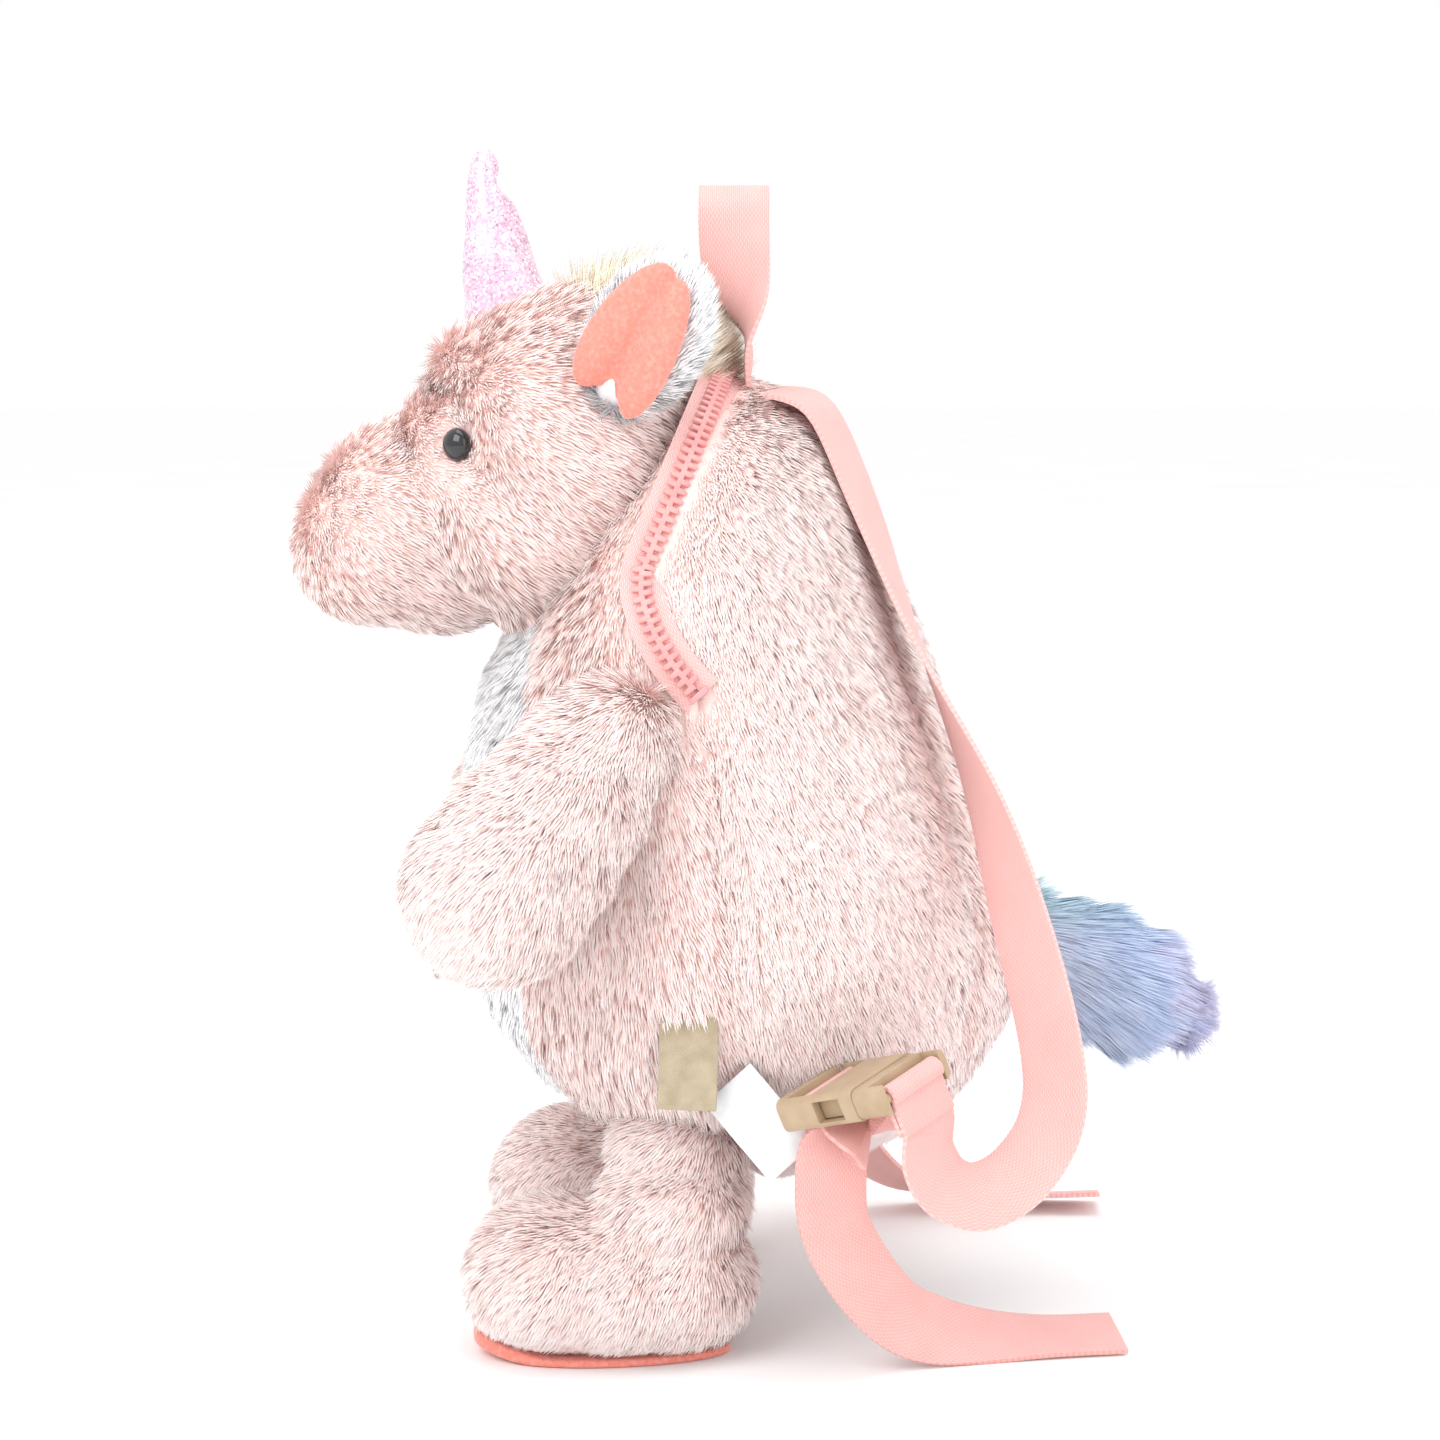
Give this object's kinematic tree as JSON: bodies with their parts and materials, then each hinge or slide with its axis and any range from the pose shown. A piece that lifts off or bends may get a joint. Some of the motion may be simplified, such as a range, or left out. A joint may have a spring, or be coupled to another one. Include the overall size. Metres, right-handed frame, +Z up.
{
  "type": "plush unicorn backpack",
  "caption": "Soft plush unicorn that is also a small backpack, with a zip over the neck, webbing shoulder straps, side-release buckles and a carrying loop.",
  "frame": {"origin": "middle of the whole toy from above, on the floor under its soles", "axes": "+Z up, -Y the way it faces, +X its own left"},
  "size_m": [0.2332, 0.2695, 0.3382],
  "materials": {
    "pink_plush": "long-pile plush, pale pink tips over rosier roots",
    "white_plush": "long-pile plush, white",
    "stuffing": "loose polyester fibre",
    "lining": "thin woven polyester",
    "zip_tape": "woven zip tape",
    "zip_teeth": "moulded acetal teeth",
    "zip_slider": "enamelled die casting",
    "glitter_cloth": "pink film cloth with glitter",
    "mane_plush": "long pastel pile",
    "eye_plastic": "polished black dome",
    "washer_plastic": "moulded",
    "coral_velour": "short-pile velour",
    "tail_plush": "very long pile, blue to lilac with pale tips",
    "tail_cloth": "knitted backing",
    "webbing": "20 mm flat woven webbing",
    "buckle_plastic": "moulded acetal, tan",
    "woven_label": "folded woven ribbon",
    "care_label": "white satin ribbon"
  },
  "bodies": {
    "bag": {"front_panel": "pink_plush", "belly_patch": "white_plush", "back_panel": "pink_plush", "side_panel_left": "pink_plush", "side_panel_right": "pink_plush", "belly_stuffing": "stuffing", "compartment_lining": "lining", "zip_tape_front": "zip_tape", "zip_tape_back": "zip_tape", "zip_teeth_front": "zip_teeth", "zip_teeth_back": "zip_teeth", "zip_stops": "zip_teeth", "shoulder_strap_left": "webbing", "shoulder_strap_right": "webbing", "lower_strap_left": "webbing", "lower_strap_right": "webbing", "buckle_socket_left": "buckle_plastic", "buckle_socket_right": "buckle_plastic", "woven_label": "woven_label", "care_label": "care_label"},
    "head": {"head_cover": "pink_plush", "head_stuffing": "stuffing", "horn_cover": "glitter_cloth", "horn_stuffing": "stuffing", "forelock": "mane_plush", "eye_left": "eye_plastic", "eye_right": "eye_plastic", "eye_washer_left": "washer_plastic", "eye_washer_right": "washer_plastic"},
    "ear_left": {"ear_back_left": "white_plush", "ear_lining_left": "coral_velour"},
    "ear_right": {"ear_back_right": "white_plush", "ear_lining_right": "coral_velour"},
    "arm_left": {"arm_cover_left": "pink_plush", "arm_stuffing_left": "stuffing"},
    "arm_right": {"arm_cover_right": "pink_plush", "arm_stuffing_right": "stuffing"},
    "leg_left": {"leg_cover_left": "pink_plush", "leg_stuffing_left": "stuffing", "sole_left": "coral_velour"},
    "leg_right": {"leg_cover_right": "pink_plush", "leg_stuffing_right": "stuffing", "sole_right": "coral_velour"},
    "tail": {"tail_plush": "tail_plush", "tail_core": "tail_cloth"},
    "carry_loop": {"haul_loop": "webbing"},
    "slider": {"zip_slider": "zip_slider"},
    "pull_tab": {"zip_puller": "zip_slider"},
    "plug_left": {"buckle_plug_left": "buckle_plastic", "strap_eye_left": "webbing"},
    "plug_right": {"buckle_plug_right": "buckle_plastic", "strap_eye_right": "webbing"}
  },
  "joints": [
    {"name": "head_nod", "type": "hinge", "parent": "bag", "child": "head", "pos_m": [0, -0.03964, 0.224], "axis": [1, 0, 0], "range_deg": [-2, 8]},
    {"name": "ear_left_fold", "type": "hinge", "parent": "head", "child": "ear_left", "pos_m": [0.05306, -0.04164, 0.2684], "axis": [-0.2588, -0.8529, 0.4535], "range_deg": [-15, 10]},
    {"name": "ear_right_fold", "type": "hinge", "parent": "head", "child": "ear_right", "pos_m": [-0.05306, -0.04164, 0.2684], "axis": [-0.2588, 0.8529, -0.4535], "range_deg": [-15, 10]},
    {"name": "arm_left_swing", "type": "hinge", "parent": "bag", "child": "arm_left", "pos_m": [0.06914, -0.03564, 0.179], "axis": [0.8718, -0.4209, 0.2505], "range_deg": [-50, 10]},
    {"name": "arm_right_swing", "type": "hinge", "parent": "bag", "child": "arm_right", "pos_m": [-0.06914, -0.03564, 0.179], "axis": [0.8718, 0.4209, -0.2505], "range_deg": [-50, 10]},
    {"name": "leg_left_swing", "type": "hinge", "parent": "bag", "child": "leg_left", "pos_m": [0.044, -0.02364, 0.058], "axis": [1, 0, 0], "range_deg": [-18, 18]},
    {"name": "leg_right_swing", "type": "hinge", "parent": "bag", "child": "leg_right", "pos_m": [-0.044, -0.02364, 0.058], "axis": [1, 0, 0], "range_deg": [-18, 18]},
    {"name": "tail_lift", "type": "hinge", "parent": "bag", "child": "tail", "pos_m": [0, 0.06506, 0.108], "axis": [1, 0, 0], "range_deg": [-2, 20]},
    {"name": "carry_loop_fold", "type": "hinge", "parent": "bag", "child": "carry_loop", "pos_m": [0, -0.00364, 0.269], "axis": [1, 0, 0], "range_deg": [-40, 0]},
    {"name": "zip_travel", "type": "hinge", "parent": "bag", "child": "slider", "pos_m": [0, -0.03414, 0.215], "axis": [0, 0.9239, -0.3827], "range_deg": [0, 154]},
    {"name": "pull_tab_flip", "type": "hinge", "parent": "slider", "child": "pull_tab", "pos_m": [-0.06596, -0.02831, 0.22907], "axis": [0, 0.9239, -0.3827], "range_deg": [0, 60]},
    {"name": "buckle_left_release", "type": "slide", "parent": "bag", "child": "plug_left", "axis": [0.7071, 0.6556, 0.2649], "range_m": [0, 0.026]},
    {"name": "buckle_right_release", "type": "slide", "parent": "bag", "child": "plug_right", "axis": [-0.7071, 0.6556, 0.2649], "range_m": [0, 0.026]}
  ]
}
